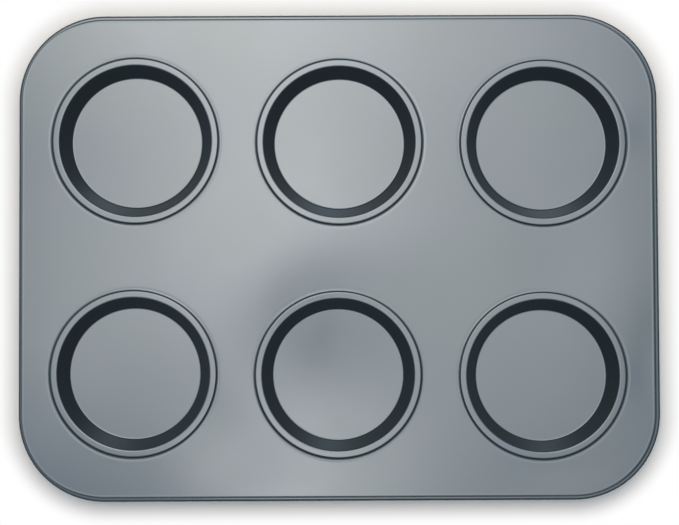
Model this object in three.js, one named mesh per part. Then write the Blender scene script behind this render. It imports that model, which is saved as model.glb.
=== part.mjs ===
// Muffin top pan: one pressed steel sheet with six shallow cups and an edge rolled over a stiffening wire.
// Millimetres. +X runs along the long side, +Y to the back and +Z up, and the cup floors stand on z = 0.
import * as THREE from 'three';
import { mergeGeometries, mergeVertices } from 'three/addons/utils/BufferGeometryUtils.js';

// The whole pan
const panLength = 394;
const panWidth = 299.5;
const cornerRadius = 53;
const sheetThickness = 0.5;

// The cups: the floor's radius and the wall's spread from it to the mouth end where two faces would meet
// without the fillet between them
const cupColumns = 3;
const cupRows = 2;
const columnPitch = 125.7;
const rowPitch = 143.4;
const cupDepth = 12.9;
const floorRadius = 40.7;
const wallSpread = 6.3;
const floorFillet = 1;
const mouthFillet = 1.2;

// The raised ring round each cup's mouth: its land ends at the middle of the step down to the plate
const ringLand = 4;
const ringHeight = 1.2;
const ringTopFillet = 1;
const ringFootFillet = 1.2;

// The rim: a small step down, then the bead rolled over the wire
const rimStepDrop = 0.7;
const rimStepFillet = 1;
const beadTurn = THREE.MathUtils.degToRad(290);
const wireDiameter = 1.6;
const wireClearance = 0.3;
const wireEndGap = 1;

// Facets of the round stretches
const cupSides = 32;
const cornerSteps = 8;
const wireSides = 8;
const bendStep = THREE.MathUtils.degToRad(33);
const weldDistance = 1e-3;

// Heights and bead sizes that follow from the values above
const floorTop = sheetThickness;
const plateTop = floorTop + cupDepth;
const wireRadius = wireDiameter / 2;
const beadRadius = wireRadius + wireClearance + sheetThickness;
const beadCentre = plateTop - rimStepDrop - beadRadius;

// One face of a strip of sheet that is bent as it goes outwards. The upper face has depth 0 and the lower
// face the sheet's thickness. Each move is a straight run or a turn, to the left (up) where it is positive,
// with the bend's radius on the upper face.
function faceOfStrip(start, moves, depth) {
  const point = new THREE.Vector2(start.x, start.y - depth);
  const points = [point.clone()];
  let heading = 0;
  for (const { run = 0, turn = 0, radius = 0 } of moves) {
    if (run > 0) {
      point.add(new THREE.Vector2(run * Math.cos(heading), run * Math.sin(heading)));
      points.push(point.clone());
    }
    const side = Math.sign(turn);
    const reach = side * radius + depth;
    const centre = new THREE.Vector2(
      point.x - reach * Math.sin(heading),
      point.y + reach * Math.cos(heading),
    );
    const steps = Math.ceil(Math.abs(turn) / bendStep);
    for (let step = 1; step <= steps; step++) {
      const angle = heading + turn * step / steps;
      point.set(centre.x + reach * Math.sin(angle), centre.y - reach * Math.cos(angle));
      points.push(point.clone());
    }
    heading += turn;
  }
  return points;
}

// The lower face going out and the upper face coming back
function bothFaces(start, moves) {
  return {
    lower: faceOfStrip(start, moves, sheetThickness),
    upper: faceOfStrip(start, moves, 0).reverse(),
  };
}

// How far a fillet reaches along each of two faces that turn by this angle
function filletReach(radius, turn) {
  return radius * Math.tan(turn / 2);
}

// The turn of an S-shaped step that rises by this much in two fillets
function stepTurn(rise, firstFillet, secondFillet) {
  return Math.acos(1 - rise / (firstFillet + secondFillet));
}

// The half section of a cup, from its axis over the floor, wall and raised ring to the plate
function cupSection() {
  const wallRise = cupDepth + ringHeight;
  const wallTurn = Math.atan2(wallRise, wallSpread);
  const floorReach = filletReach(floorFillet, wallTurn);
  const mouthReach = filletReach(mouthFillet, wallTurn);
  const ringTurn = stepTurn(ringHeight, ringTopFillet, ringFootFillet);
  const ringRun = (ringTopFillet + ringFootFillet) * Math.sin(ringTurn);
  return bothFaces(new THREE.Vector2(0, floorTop), [
    { run: floorRadius - floorReach },
    { turn: wallTurn, radius: floorFillet },
    { run: Math.hypot(wallRise, wallSpread) - floorReach - mouthReach },
    { turn: -wallTurn, radius: mouthFillet },
    { run: ringLand - ringRun / 2 - mouthReach },
    { turn: -ringTurn, radius: ringTopFillet },
    { turn: ringTurn, radius: ringFootFillet },
  ]);
}

// The section of the rim: distances run outwards from the pan's outline, so they are negative inside it
function rimSection() {
  const dropTurn = stepTurn(rimStepDrop, rimStepFillet, rimStepFillet);
  const dropRun = 2 * rimStepFillet * Math.sin(dropTurn);
  return bothFaces(new THREE.Vector2(-beadRadius - dropRun, plateTop), [
    { turn: -dropTurn, radius: rimStepFillet },
    { turn: dropTurn, radius: rimStepFillet },
    { turn: -beadTurn, radius: beadRadius },
  ]);
}

// The section of the wire, at the centre of the bead
function wireSection() {
  return Array.from({ length: wireSides }, (_, side) => {
    const angle = 2 * Math.PI * side / wireSides;
    return new THREE.Vector2(
      wireRadius * Math.cos(angle) - beadRadius,
      wireRadius * Math.sin(angle) + beadCentre,
    );
  });
}

// The rounded corners of the outline, anticlockwise from the back right one: points with outward normals
function outlineCorners() {
  return [0, 1, 2, 3].map((corner) => {
    const middle = Math.PI / 2 * (corner + 0.5);
    const centre = new THREE.Vector2(
      Math.sign(Math.cos(middle)) * (panLength / 2 - cornerRadius),
      Math.sign(Math.sin(middle)) * (panWidth / 2 - cornerRadius),
    );
    return Array.from({ length: cornerSteps + 1 }, (_, step) => {
      const angle = Math.PI / 2 * (corner + step / cornerSteps);
      const normal = new THREE.Vector2(Math.cos(angle), Math.sin(angle));
      return { point: centre.clone().addScaledVector(normal, cornerRadius), normal };
    });
  });
}

// A section of distances and heights, set up at each station and skinned from one station to the next
function sweep(stations, section, closed) {
  const positions = stations.flatMap(({ point, normal }) => section.flatMap(
    (s) => [point.x + normal.x * s.x, point.y + normal.y * s.x, s.y],
  ));
  const size = section.length;
  const spans = closed.stations ? stations.length : stations.length - 1;
  const strips = closed.section ? size : size - 1;
  const faces = [];
  for (let span = 0; span < spans; span++) {
    const here = span * size;
    const there = (span + 1) % stations.length * size;
    for (let strip = 0; strip < strips; strip++) {
      const next = (strip + 1) % size;
      faces.push(here + strip, there + strip, there + next);
      faces.push(here + strip, there + next, here + next);
    }
  }
  if (!closed.stations) {
    const last = positions.length / 3 - size;
    for (const [a, b, c] of THREE.ShapeUtils.triangulateShape(section, [])) {
      faces.push(a, b, c);
      faces.push(last + a, last + c, last + b);
    }
  }
  return skinOf(positions, faces);
}

function skinOf(positions, faces) {
  const skin = new THREE.BufferGeometry();
  skin.setAttribute('position', new THREE.Float32BufferAttribute(positions, 3));
  skin.setIndex(faces);
  return skin;
}

// Positions and faces alone, so that skins can be joined
function bareSkin(geometry) {
  geometry.deleteAttribute('normal');
  geometry.deleteAttribute('uv');
  return geometry;
}

// Skins that share their edges become one closed body, without the empty faces that a revolve has on its axis
function weld(skins) {
  const body = mergeVertices(mergeGeometries(skins), weldDistance);
  const corners = body.getIndex().array;
  const faces = [];
  for (let face = 0; face < corners.length; face += 3) {
    const [a, b, c] = corners.slice(face, face + 3);
    if (a !== b && b !== c && c !== a) {
      faces.push(a, b, c);
    }
  }
  body.setIndex(faces);
  return body;
}

// The flat plate at one height, facing up, with a round hole for each cup
function plateFace(stations, edgeDistance, holeRadius, height) {
  const outline = stations.map(({ point, normal }) => point.clone().addScaledVector(normal, edgeDistance));
  const plate = new THREE.Shape(outline);
  for (const centre of cupCentres()) {
    const hole = Array.from({ length: cupSides }, (_, side) => {
      const angle = 2 * Math.PI * side / cupSides;
      return new THREE.Vector2(Math.sin(angle), -Math.cos(angle)).multiplyScalar(holeRadius).add(centre);
    });
    plate.holes.push(new THREE.Path(hole));
  }
  return bareSkin(new THREE.ShapeGeometry(plate)).translate(0, 0, height);
}

function turnedOver(skin) {
  skin.setIndex(Array.from(skin.getIndex().array).reverse());
  return skin;
}

// Middles of the cups, column by column and row by row about the pan's centre
function cupCentres() {
  const centres = [];
  for (let column = 0; column < cupColumns; column++) {
    for (let row = 0; row < cupRows; row++) {
      centres.push(new THREE.Vector2(
        (column - (cupColumns - 1) / 2) * columnPitch,
        (row - (cupRows - 1) / 2) * rowPitch,
      ));
    }
  }
  return centres;
}

// The pressed sheet: six revolved cups, the plate round them and the rolled rim
function panSheet() {
  const cup = cupSection();
  const rim = rimSection();
  const stations = outlineCorners().flat();
  const edgeDistance = rim.lower[0].x;
  const holeRadius = cup.upper[0].x;
  const skins = [
    plateFace(stations, edgeDistance, holeRadius, plateTop),
    turnedOver(plateFace(stations, edgeDistance, holeRadius, plateTop - sheetThickness)),
    sweep(stations, [...rim.lower, ...rim.upper], { stations: true, section: false }),
  ];
  for (const centre of cupCentres()) {
    for (const face of [cup.lower, cup.upper]) {
      const revolved = bareSkin(new THREE.LatheGeometry(face, cupSides)).rotateX(Math.PI / 2);
      skins.push(revolved.translate(centre.x, centre.y, 0));
    }
  }
  return weld(skins);
}

// The wire in the bead: one open loop whose ends meet, but for a small gap, at the middle of the back side
function rimWire() {
  const corners = outlineCorners();
  const backEdge = panWidth / 2;
  const backNormal = new THREE.Vector2(0, 1);
  const stations = [
    { point: new THREE.Vector2(-wireEndGap / 2, backEdge), normal: backNormal },
    ...corners[1],
    ...corners[2],
    ...corners[3],
    ...corners[0],
    { point: new THREE.Vector2(wireEndGap / 2, backEdge), normal: backNormal },
  ];
  return sweep(stations, wireSection(), { stations: false, section: true });
}

function named(name, geometry, finish) {
  const mesh = new THREE.Mesh(geometry, new THREE.MeshStandardMaterial(finish));
  mesh.name = name;
  return mesh;
}

const coatedSteel = { color: 0x8f9496, roughness: 0.4, metalness: 0.6 };
const bareSteel = { color: 0xb4b6b8, roughness: 0.35, metalness: 1 };

const pan = new THREE.Group();
pan.add(named('pan_sheet', panSheet(), coatedSteel));
pan.add(named('rim_wire', rimWire(), bareSteel));

export default pan;
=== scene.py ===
# Muffin top pan: a coated steel sheet pressed into six shallow cups, its edge rolled over a wire.
# Metres. +X runs along the long side, +Y to the back and +Z up, and the cup floors stand on z = 0.
from math import acos, atan2, ceil, cos, hypot, pi, radians, sin, tan

import bmesh
import bpy
import numpy as np
from mathutils import Matrix, Vector
from mathutils.geometry import delaunay_2d_cdt


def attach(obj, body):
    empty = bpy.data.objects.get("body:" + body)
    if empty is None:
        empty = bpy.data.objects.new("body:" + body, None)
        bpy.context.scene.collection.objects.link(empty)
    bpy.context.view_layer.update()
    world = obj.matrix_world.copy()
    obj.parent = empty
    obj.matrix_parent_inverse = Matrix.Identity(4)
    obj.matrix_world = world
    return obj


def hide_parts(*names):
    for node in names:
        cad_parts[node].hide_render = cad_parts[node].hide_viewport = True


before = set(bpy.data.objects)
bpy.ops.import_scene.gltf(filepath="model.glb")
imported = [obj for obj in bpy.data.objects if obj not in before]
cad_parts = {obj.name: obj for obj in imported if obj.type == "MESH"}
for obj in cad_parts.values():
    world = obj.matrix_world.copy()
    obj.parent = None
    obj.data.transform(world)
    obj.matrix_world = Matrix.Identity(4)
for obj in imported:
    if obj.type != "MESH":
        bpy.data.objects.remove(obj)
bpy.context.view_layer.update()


# The pan sheet
# One blank of carbon steel about half a millimetre thick, pressed into a plate with six shallow cups and
# rolled outwards, down and under at its edge. A dark satin non-stick coat is baked on both of its faces.
mm = 0.001
pan_length = 394 * mm
pan_width = 299.5 * mm
corner_radius = 53 * mm
sheet_thickness = 0.5 * mm

cup_columns = 3
cup_rows = 2
column_pitch = 125.7 * mm
row_pitch = 143.4 * mm
cup_depth = 12.9 * mm
floor_radius = 40.6 * mm
wall_spread = 6.2 * mm
floor_fillet = 1 * mm
mouth_fillet = 1.2 * mm

ring_land = 4.5 * mm
ring_height = 1.2 * mm
ring_top_fillet = 1 * mm
ring_foot_fillet = 1.7 * mm
trough_turn = radians(4)
trough_run = 0.5 * mm
trough_fillet = 12 * mm

lip_turn = radians(2.5)
lip_run = 0.5 * mm
lip_fillet = 12 * mm
rim_step_drop = 0.7 * mm
rim_step_fillet = 0.8 * mm
right_step_fillet = 1.4 * mm
left_step_fillet = 0.3 * mm
left_step_drop = 0.3 * mm
bead_land = 0.4 * mm
left_bead_land = 0.02 * mm
side_from, side_to = 0.2, 0.8
bead_turn = radians(290)
wire_diameter = 1.6 * mm
wire_clearance = 0.3 * mm

# Soft swells that pressing has left in the plate: middle, height and reach, in millimetres
swells = np.array([
    (165, -45, 0.4, 20),
    (175, -75, 0.3, 12),
    (200, -70, -0.5, 12),
    (170, 75, 0.4, 10),
    (135, -5, -0.6, 20),
    (135, -130, -0.5, 20),
    (50, -35, -0.5, 30),
    (-55, -120, -0.5, 20),
    (-85, -95, -0.4, 15),
]) * mm
swell_fade = 3.5 * mm, 14 * mm

cup_sides = 144
corner_steps = 24
side_steps = 24
bend_steps = 8
slight_bend_steps = 2
bead_steps = 33
flat_step = 6 * mm
collar_width = 0.35 * mm
weld_distance = 0.002 * mm
sharp_angle = radians(50)

plate_top = sheet_thickness + cup_depth
bead_radius = wire_diameter / 2 + wire_clearance + sheet_thickness
bead_centre = plate_top - rim_step_drop - bead_radius
press_turn = radians(-0.5)
press_shift = Vector((-0.13, -0.77)) * mm
cup_centres = [
    press_shift + Matrix.Rotation(press_turn, 2) @ Vector((
        (column - (cup_columns - 1) / 2) * column_pitch,
        (row - (cup_rows - 1) / 2) * row_pitch,
    ))
    for column in range(cup_columns)
    for row in range(cup_rows)
]


def run_marks(run, after_bend, before_bend):
    """Distances along a straight run, with a narrow collar at each bend to keep its shading to itself."""
    marks = list(np.linspace(0, run, ceil(run / flat_step) + 1)[1:])
    if run > 4 * collar_width:
        marks += [collar_width] * after_bend + [run - collar_width] * before_bend
    return sorted(marks)


def strip_face(start, moves, depth):
    """One face of a strip of sheet that is bent as it goes outwards, as points of distance and height.

    A move is a straight run and then a turn, up where it is positive, with its radius on the upper face and
    the number of facets of the bend. The upper face has depth 0 and the lower face the sheet's thickness.
    """
    across, height = start[0], start[1] - depth
    points = [(across, height)]
    heading = 0
    for run, turn, radius, steps in moves:
        for mark in run_marks(run, len(points) > 1, turn != 0):
            points.append((across + mark * cos(heading), height + mark * sin(heading)))
        across, height = points[-1]
        reach = (radius if turn > 0 else -radius) + depth
        centre = across - reach * sin(heading), height + reach * cos(heading)
        for step in range(1, steps + 1):
            angle = heading + turn * step / steps
            points.append((centre[0] + reach * sin(angle), centre[1] - reach * cos(angle)))
        across, height = points[-1]
        heading += turn
    return np.array(points)


def step_turn(rise, first_fillet, second_fillet):
    """The turn of an S-shaped step that rises by this much in two fillets."""
    return acos(1 - rise / (first_fillet + second_fillet))


def cup_moves():
    """From a cup's axis over its floor, wall and raised ring to a narrow collar of the plate round it."""
    wall_rise = cup_depth + ring_height
    wall_turn = atan2(wall_rise, wall_spread)
    floor_reach = floor_fillet * tan(wall_turn / 2)
    mouth_reach = mouth_fillet * tan(wall_turn / 2)
    trough_fillets = ring_foot_fillet + trough_fillet
    trough_depth = trough_run * sin(trough_turn) + trough_fillets * (1 - cos(trough_turn))
    ring_turn = step_turn(ring_height + trough_depth, ring_top_fillet, ring_foot_fillet)
    ring_run = (ring_top_fillet + ring_foot_fillet) * sin(ring_turn)
    return [
        (floor_radius - floor_reach, wall_turn, floor_fillet, bend_steps),
        (hypot(wall_rise, wall_spread) - floor_reach - mouth_reach, -wall_turn, mouth_fillet, bend_steps),
        (ring_land - ring_run / 2 - mouth_reach, -ring_turn, ring_top_fillet, bend_steps),
        (0, ring_turn + trough_turn, ring_foot_fillet, bend_steps),
        (trough_run, -trough_turn, trough_fillet, slight_bend_steps),
        (collar_width, 0, 0, 0),
    ]


def eased(value, low, high):
    """0 below the low value, 1 above the high one and a smooth rise between them."""
    part = np.clip((value - low) / (high - low), 0, 1)
    return part * part * (3 - 2 * part)


def rim_face(facing, depth):
    """From a narrow collar of the plate over a slight lip, down the small step and round the bead.

    The step is drawn out where the rim faces right. Where it faces left, it is short and runs into a
    fuller bead. Both come in gradually round the corners, as the rim turns to face its side.
    """
    right = eased(facing.x, side_from, side_to)
    left = eased(-facing.x, side_from, side_to)
    drop = rim_step_drop + (left_step_drop - rim_step_drop) * left
    land = bead_land + (left_bead_land - bead_land) * left
    radius = bead_radius + (rim_step_drop - drop) / 2
    fillet = rim_step_fillet * (1 - right - left) + right_step_fillet * right + left_step_fillet * left
    lip_rise = lip_run * sin(lip_turn) + (lip_fillet + fillet) * (1 - cos(lip_turn))
    drop_turn = step_turn(drop + lip_rise, fillet, fillet)
    lip_reach = lip_fillet * sin(lip_turn) + lip_run * cos(lip_turn)
    reach = collar_width + lip_reach + fillet * (sin(lip_turn) + 2 * sin(drop_turn)) + land + radius
    return strip_face((-reach, plate_top), [
        (collar_width, lip_turn, lip_fillet, slight_bend_steps),
        (lip_run, -lip_turn - drop_turn, fillet, bend_steps),
        (0, drop_turn, fillet, bend_steps),
        (land, -bead_turn, radius, bead_steps),
    ], depth)


def outline_stations():
    """Points of the pan's outline with their outward normals, anticlockwise from the right side."""
    corners = []
    for corner in range(4):
        middle = pi / 2 * (corner + 0.5)
        centre = Vector((
            np.sign(cos(middle)) * (pan_length / 2 - corner_radius),
            np.sign(sin(middle)) * (pan_width / 2 - corner_radius),
        ))
        for step in range(corner_steps + 1):
            angle = pi / 2 * (corner + step / corner_steps)
            normal = Vector((cos(angle), sin(angle)))
            corners.append((centre + corner_radius * normal, normal))
    stations = []
    for (here, normal), (there, _) in zip(corners, corners[1:] + corners[:1]):
        steps = side_steps if (there - here).length > corner_radius else 1
        stations += [(here.lerp(there, step / steps), normal) for step in range(steps)]
    return stations


def skin(points):
    """Quads over a grid of points."""
    rows, columns = points.shape[:2]
    index = np.arange(rows * columns).reshape(rows, columns)
    quads = np.stack([index[:-1, :-1], index[:-1, 1:], index[1:, 1:], index[1:, :-1]], axis=-1)
    return points.reshape(-1, 3), quads.reshape(-1, 4)


def revolve(section, centre):
    """A section of radii and heights, turned about a cup's axis."""
    angles = np.linspace(0, 2 * pi, cup_sides + 1)
    radius, height = section[:, :1], section[:, 1:]
    return skin(np.stack([
        centre[0] + radius * np.cos(angles),
        centre[1] + radius * np.sin(angles),
        height + 0 * angles,
    ], axis=-1))


def sweep(sections, stations):
    """Sections of distances from the outline and heights, one for each station, joined to a skin."""
    point = np.array([station[0] for station in stations])
    normal = np.array([station[1] for station in stations])
    across, height = np.moveaxis(np.array(sections), -1, 0)
    return skin(np.stack([
        point[:, :1] + across * normal[:, :1],
        point[:, 1:] + across * normal[:, 1:],
        height,
    ], axis=-1))


def inside_outline(x, y):
    """How far places lie inside the pan's outline."""
    past_x = np.maximum(np.abs(x) - pan_length / 2 + corner_radius, 0)
    past_y = np.maximum(np.abs(y) - pan_width / 2 + corner_radius, 0)
    return corner_radius - np.hypot(past_x, past_y)


def off_cups(places):
    """How far places lie from the nearest cup's axis."""
    return np.linalg.norm(places[:, None] - np.array(cup_centres), axis=-1).min(axis=1)


def plate(edge_loop, hole_radius, height):
    """The plate between the cups and the rim, as small triangles."""
    angles = 2 * pi * np.arange(cup_sides) / cup_sides
    loops = [edge_loop]
    for x, y in cup_centres:
        loops.append([Vector((x + hole_radius * cos(a), y + hole_radius * sin(a))) for a in angles])
    points = []
    edges = []
    for loop in loops:
        edges += [(len(points) + i, len(points) + (i + 1) % len(loop)) for i in range(len(loop))]
        points += loop
    columns = np.arange(flat_step / 2 - pan_length / 2, pan_length / 2, flat_step)
    rows = np.arange(flat_step / 2 - pan_width / 2, pan_width / 2, flat_step)
    grid = np.array([(x, y) for x in columns for y in rows])
    clear_of_rim = inside_outline(*grid.T) > 2 * bead_radius + flat_step
    clear_of_cups = off_cups(grid) > hole_radius + flat_step / 2
    points += [Vector(place) for place in grid[clear_of_rim & clear_of_cups]]
    points, _, faces, *_ = delaunay_2d_cdt(points, edges, [], 1, weld_distance)
    ground = np.array([(point.x, point.y) for point in points])
    middles = np.array([ground[face].mean(axis=0) for face in faces])
    in_plate = off_cups(middles) > hole_radius * cos(pi / cup_sides)
    kept = [face for face, wanted in zip(faces, in_plate) if wanted]
    return np.c_[ground, np.full(len(ground), height)], kept


def swollen(points):
    """Points of the sheet, lifted by the swells, which fade out at the bead and towards the cup floors."""
    x, y, z = points.T
    lift = sum(
        height * np.exp(-((x - u) ** 2 + (y - v) ** 2) / (2 * reach ** 2))
        for u, v, height, reach in swells
    )
    fade = eased(inside_outline(x, y), *swell_fade)
    return np.c_[x, y, z + lift * fade * np.clip(z / plate_top, 0, 1)]


def mesh_piece(name, skins):
    """One object from skins that share their edges."""
    vertices = np.vstack([points for points, _ in skins])
    faces = []
    first = 0
    for points, polygons in skins:
        faces += [[first + i for i in polygon] for polygon in polygons]
        first += len(points)
    mesh = bpy.data.meshes.new(name)
    mesh.from_pydata(vertices.tolist(), [], faces)
    body = bmesh.new()
    body.from_mesh(mesh)
    bmesh.ops.remove_doubles(body, verts=body.verts, dist=weld_distance)
    bmesh.ops.holes_fill(body, edges=body.edges)
    bmesh.ops.recalc_face_normals(body, faces=body.faces)
    body.to_mesh(mesh)
    body.free()
    mesh.shade_smooth()
    mesh.set_sharp_from_angle(angle=sharp_angle)
    piece = bpy.data.objects.new(name, mesh)
    bpy.context.scene.collection.objects.link(piece)
    return piece


outline = outline_stations()
whole_outline = outline + outline[:1]
sheet_skins = []
free_edges = []
for depth in (0, sheet_thickness):
    cup_face = strip_face((0, sheet_thickness), cup_moves(), depth)
    rim_faces = [rim_face(normal, depth) for _, normal in whole_outline]
    plate_outline = [point + normal * face[0, 0] for (point, normal), face in zip(outline, rim_faces)]
    free_edges.append([face[-1] for face in rim_faces])
    sheet_skins += [revolve(cup_face, centre) for centre in cup_centres]
    sheet_skins.append(sweep(rim_faces, whole_outline))
    sheet_skins.append(plate(plate_outline, cup_face[-1, 0], plate_top - depth))
sheet_skins.append(sweep(np.stack(free_edges, axis=1), whole_outline))
sheet = mesh_piece("coated_sheet", [(swollen(points), faces) for points, faces in sheet_skins])


class Value:
    """An output of a shader's node, on which arithmetic adds Math nodes."""

    def __init__(self, tree, socket=None):
        self.tree = tree
        self.socket = socket

    def node(self, kind, settings, inputs, output=0):
        """Adds a node with its settings and gives its sockets their values or links."""
        made = self.tree.nodes.new(kind)
        for name, setting in settings.items():
            setattr(made, name, setting)
        for key, given in inputs.items():
            if isinstance(given, Value):
                self.tree.links.new(given.socket, made.inputs[key])
            else:
                made.inputs[key].default_value = given
        return Value(self.tree, made.outputs[output] if made.outputs else None)

    def math(self, operation, first, second):
        return self.node("ShaderNodeMath", {"operation": operation}, {0: first, 1: second})

    def __add__(self, other):
        return self.math("ADD", self, other)

    __radd__ = __add__

    def __sub__(self, other):
        return self.math("SUBTRACT", self, other)

    def __rsub__(self, other):
        return self.math("SUBTRACT", other, self)

    def __mul__(self, other):
        return self.math("MULTIPLY", self, other)

    __rmul__ = __mul__


def new_material(name):
    """An empty material, with the value that its nodes start from."""
    material = bpy.data.materials.new(name)
    material.use_nodes = True
    material.node_tree.nodes.clear()
    return material, Value(material.node_tree)


def noise(start, place, scale, detail):
    """Soft random spots, one for about every 1 / scale metres."""
    return start.node("ShaderNodeTexNoise", {}, {"Vector": place, "Scale": scale, "Detail": detail})


def mix(start, factor, first, second):
    """One colour where the factor is 0 and another where it is 1."""
    return start.node("ShaderNodeMix", {"data_type": "RGBA"}, {0: factor, 6: first, 7: second}, 2)


def between(start, value, low, high):
    """The easing as a node."""
    limits = {"Value": value, "From Min": low, "From Max": high}
    return start.node("ShaderNodeMapRange", {"interpolation_type": "SMOOTHSTEP"}, limits)


def past_outline(start, place):
    """How far a place lies outside the pan's outline, and inside it where it is negative."""
    straights = (pan_length / 2 - corner_radius, pan_width / 2 - corner_radius, 1)
    off_middle = start.node("ShaderNodeVectorMath", {"operation": "ABSOLUTE"}, {0: place})
    past = start.node("ShaderNodeVectorMath", {"operation": "SUBTRACT"}, {0: off_middle, 1: straights})
    past = start.node("ShaderNodeVectorMath", {"operation": "MAXIMUM"}, {0: past, 1: (0, 0, 0)})
    return start.node("ShaderNodeVectorMath", {"operation": "LENGTH"}, {0: past}, "Value") - corner_radius


def non_stick_coat():
    """A dark grey satin coat in clouds of two greys, with fine flakes in it and orange peel on it.

    On the outer side of the bead the colour is darker: painted shade, standing in for the shaded floor that
    the bead mirrors there.
    """
    cool_grey = (0.1308, 0.1432, 0.1548, 1)
    warm_grey = (0.1325, 0.147, 0.15, 1)
    flake_grey = (0.1465, 0.161, 0.169, 1)
    # Painted shade for the outer side of the bead, darker than the coat
    bead_shade_grey = (0.06, 0.062, 0.063, 1)
    bead_shade_from, bead_shade_to = -1.4 * mm, -0.6 * mm
    cloud_scale, flake_scale, peel_scale = 16, 1000, 650
    cloud_from, cloud_to = 0.3, 0.7
    flake_share = 0.5
    peel_strength, peel_height = 0.05, 0.2 * mm
    coat_roughness, cloud_roughness, flake_roughness = 0.155, 0.04, 0.02
    material, start = new_material("non_stick_coat")
    place = start.node("ShaderNodeTexCoord", {}, {}, "Object")
    clouds = between(start, noise(start, place, cloud_scale, 2), cloud_from, cloud_to)
    flakes = noise(start, place, flake_scale, 2)
    peel = noise(start, place, peel_scale, 2)
    bead_shade = between(start, past_outline(start, place), bead_shade_from, bead_shade_to)
    colour = mix(start, clouds, cool_grey, warm_grey)
    colour = mix(start, flake_share * flakes, colour, flake_grey)
    # Painted shade: the bead's outer side is darkened, standing in for the shaded floor that it mirrors
    colour = mix(start, bead_shade, colour, bead_shade_grey)
    bump = start.node("ShaderNodeBump", {}, {
        "Strength": peel_strength,
        "Distance": peel_height,
        "Height": peel,
    })
    surface = start.node("ShaderNodeBsdfPrincipled", {}, {
        "Base Color": colour,
        "Metallic": 0.96,
        "Roughness": coat_roughness + cloud_roughness * clouds + flake_roughness * flakes,
        "Normal": bump,
    })
    start.node("ShaderNodeOutputMaterial", {}, {"Surface": surface})
    return material


sheet.data.materials.append(non_stick_coat())
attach(sheet, "root")
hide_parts("pan_sheet")


# The rim wire
# A drawn steel wire inside the rolled edge, bent to the pan's outline with its two cut ends meeting at the
# middle of the back side. It lies loose in the bead and stiffens the rim.
wire_end_gap = 1 * mm
wire_sides = 20
wire_angles = np.linspace(0, 2 * pi, wire_sides + 1)
wire_section = np.c_[
    wire_diameter / 2 * np.cos(wire_angles) - bead_radius,
    wire_diameter / 2 * np.sin(wire_angles) + bead_centre,
]
back_middle = corner_steps + side_steps // 2
back_normal = outline[back_middle][1]
left_end, right_end = (
    (Vector((side * wire_end_gap / 2, pan_width / 2)), back_normal)
    for side in (-1, 1)
)
wire_stations = [left_end, *outline[back_middle + 1:], *outline[:back_middle], right_end]
wire = mesh_piece("drawn_wire", [sweep([wire_section] * len(wire_stations), wire_stations)])


def drawn_steel():
    """Bare drawn wire: grey steel with a dull oxide bloom and fine marks from the die."""
    bright_steel = (0.46, 0.46, 0.45, 1)
    dull_steel = (0.27, 0.265, 0.26, 1)
    bloom_scale, mark_scale = 220, 3500
    mark_strength, mark_height = 0.15, 0.05 * mm
    bright_roughness, bloom_roughness = 0.3, 0.2
    material, start = new_material("drawn_steel")
    place = start.node("ShaderNodeTexCoord", {}, {}, "Object")
    bloom = noise(start, place, bloom_scale, 3)
    marks = noise(start, place, mark_scale, 1)
    bump = start.node("ShaderNodeBump", {}, {
        "Strength": mark_strength,
        "Distance": mark_height,
        "Height": marks,
    })
    surface = start.node("ShaderNodeBsdfPrincipled", {}, {
        "Base Color": mix(start, bloom, dull_steel, bright_steel),
        "Metallic": 1.0,
        "Roughness": bright_roughness + bloom_roughness * bloom,
        "Normal": bump,
    })
    start.node("ShaderNodeOutputMaterial", {}, {"Surface": surface})
    return material


wire.data.materials.append(drawn_steel())
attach(wire, "root")
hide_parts("rim_wire")


# The studio
# A pale floor that turns white outside the pan's shadow, soft glow panels overhead with a gap for the lens,
# a cool box behind, and a dim cool room, which the coat mirrors and the camera sees as white.
floor_half = 6
floor_mesh = bpy.data.meshes.new("floor")
floor_mesh.from_pydata(
    [(x * floor_half, y * floor_half, 0) for x, y in ((-1, -1), (1, -1), (1, 1), (-1, 1))],
    [],
    [(0, 1, 2, 3)],
)
floor = bpy.data.objects.new("floor", floor_mesh)
bpy.context.scene.collection.objects.link(floor)

white_from, white_to = 5 * mm, 17 * mm
pale_matt = (0.925, 0.842, 0.785, 1)
seen_rays = "Is Camera Ray", "Is Glossy Ray", "Is Transmission Ray"
floor_white, start = new_material("floor_white")
place = start.node("ShaderNodeTexCoord", {}, {}, "Object")
seen = sum(start.node("ShaderNodeLightPath", {}, {}, ray) for ray in seen_rays)
matt = start.node("ShaderNodeBsdfDiffuse", {}, {"Color": pale_matt})
shining = start.node("ShaderNodeEmission", {}, {"Strength": 1.0})
whiteness = between(start, past_outline(start, place), white_from, white_to) * seen
surface = start.node("ShaderNodeMixShader", {}, {0: whiteness, 1: matt, 2: shining})
start.node("ShaderNodeOutputMaterial", {}, {"Surface": surface})
floor_mesh.materials.append(floor_white)

room = bpy.data.worlds.new("room")
room.use_nodes = True
room.node_tree.nodes.clear()
start = Value(room.node_tree)
towards = start.node("ShaderNodeTexCoord", {}, {}, "Generated")
up_way, back_way = (0, 0, 1), (-0.2, 1, 0)
upwards, backwards = (
    start.node("ShaderNodeVectorMath", {"operation": "DOT_PRODUCT"}, {0: towards, 1: way}, "Value")
    for way in (up_way, back_way)
)
white = (1, 1, 1, 1)
front_walls = (0.1, 0.115, 0.125, 1)
back_walls = (0.4, 0.45, 0.475, 1)
front_boxes = (0.49, 0.615, 0.71, 1)
back_boxes = (0.7, 0.87, 0.98, 1)
opening = (0.39, 0.56, 0.78, 1)
front_end, back_end = -0.5, 0.9
walls_to, boxes_from = 0.3, 0.5
boxes_to, opening_from = 0.9, 0.97
behind = between(start, backwards, front_end, back_end)
walls = mix(start, behind, front_walls, back_walls)
soft_boxes = mix(start, behind, front_boxes, back_boxes)
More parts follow.
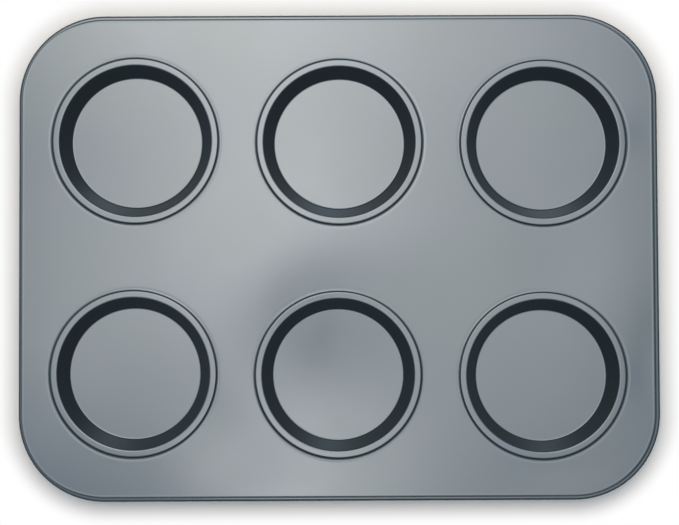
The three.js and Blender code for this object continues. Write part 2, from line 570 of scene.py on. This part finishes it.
surround = mix(start, between(start, upwards, walls_to, boxes_from), walls, soft_boxes)
surround = mix(start, between(start, upwards, boxes_to, opening_from), surround, opening)
camera_ray = start.node("ShaderNodeLightPath", {}, {}, "Is Camera Ray")
surround = start.node("ShaderNodeBackground", {}, {"Color": mix(start, camera_ray, surround, white)})
start.node("ShaderNodeOutputWorld", {}, {"Surface": surround})
bpy.context.scene.world = room

lens_gap = (-0.025, -0.02, 0)
gap_from, gap_to = 0.065, 0.095
panel_span = 6
warm_white = (1.1, 1, 0.883)
cool_white = (0.86, 1, 1.12)


def glow_panel(name, middle, reach, brightness, colour=warm_white, facing=(0, 0, 1)):
    """A soft panel over the pan, whose brightness (1 is white) fades from its middle as a bell curve.

    Its sides are as many times its reach as its span says. The panels leave a round gap for the lens,
    which the pan mirrors as a dark patch.
    """
    lamp = bpy.data.lights.new(name, "AREA")
    lamp.shape = "RECTANGLE"
    lamp.size = panel_span * reach[0]
    lamp.size_y = panel_span * reach[1]
    lamp.energy = brightness * pi * lamp.size * lamp.size_y
    lamp.color = colour
    lamp.use_nodes = True
    lamp.node_tree.nodes.clear()
    start = Value(lamp.node_tree)
    across = start.node("ShaderNodeNewGeometry", {}, {}, "Parametric")
    from_middle = {0: across, 1: (0.5, 0.5, 0)}
    off = start.node("ShaderNodeVectorMath", {"operation": "DISTANCE"}, from_middle, "Value")
    place = start.node("ShaderNodeNewGeometry", {}, {}, "Position")
    flat = start.node("ShaderNodeVectorMath", {"operation": "MULTIPLY"}, {0: place, 1: (1, 1, 0)})
    off_gap = start.node("ShaderNodeVectorMath", {"operation": "DISTANCE"}, {0: flat, 1: lens_gap}, "Value")
    bell = start.math("EXPONENT", -panel_span ** 2 / 2 * off * off, 0)
    fade = bell * between(start, off_gap, gap_from, gap_to)
    glow = start.node("ShaderNodeEmission", {}, {"Color": fade})
    start.node("ShaderNodeOutputLight", {}, {"Surface": glow})
    panel = bpy.data.objects.new(name, lamp)
    panel.location = middle
    panel.rotation_euler = Vector(facing).to_track_quat("Z", "Y").to_euler()
    bpy.context.scene.collection.objects.link(panel)


glow_panel("back_glow", (-0.025, 0.89, 1.25), (0.515, 0.405), 1.05)
glow_panel("middle_glow", (-0.075, 0.08, 1.26), (0.12, 0.125), 3.35)
glow_panel("rear_glow", (-0.145, 0.425, 1.27), (0.25, 0.12), 3.1)
glow_panel("front_glow", (-0.045, -0.255, 1.28), (0.11, 0.11), 2.8)
glow_panel("left_glow", (-0.37, -0.01, 1.29), (0.1, 0.175), 1.7)
glow_panel("right_glow", (0.295, 0.035, 1.3), (0.155, 0.32), 1.45)
back_box = Vector((0.205, 1.17, 1.07))
glow_panel("back_box", back_box, (0.3, 0.16), 1.5, cool_white, back_box)


# The camera, a little in front of the pan's middle and looking almost straight down
image_width = 679
focal_pixels = 1800
camera = bpy.data.cameras.new("camera")
camera.sensor_width = 36
camera.lens = camera.sensor_width * focal_pixels / image_width
camera_place = Vector((-2.9 * mm, -48.8 * mm, 1106.3 * mm + plate_top))
tilt, sway, roll = radians(2.342), radians(-0.167), radians(-0.253)
turn = Matrix.Rotation(tilt, 4, "X") @ Matrix.Rotation(sway, 4, "Y") @ Matrix.Rotation(roll, 4, "Z")
viewer = bpy.data.objects.new("camera", camera)
viewer.matrix_world = Matrix.Translation(camera_place) @ turn
bpy.context.scene.collection.objects.link(viewer)
bpy.context.scene.camera = viewer
bpy.context.scene.view_settings.view_transform = "Standard"
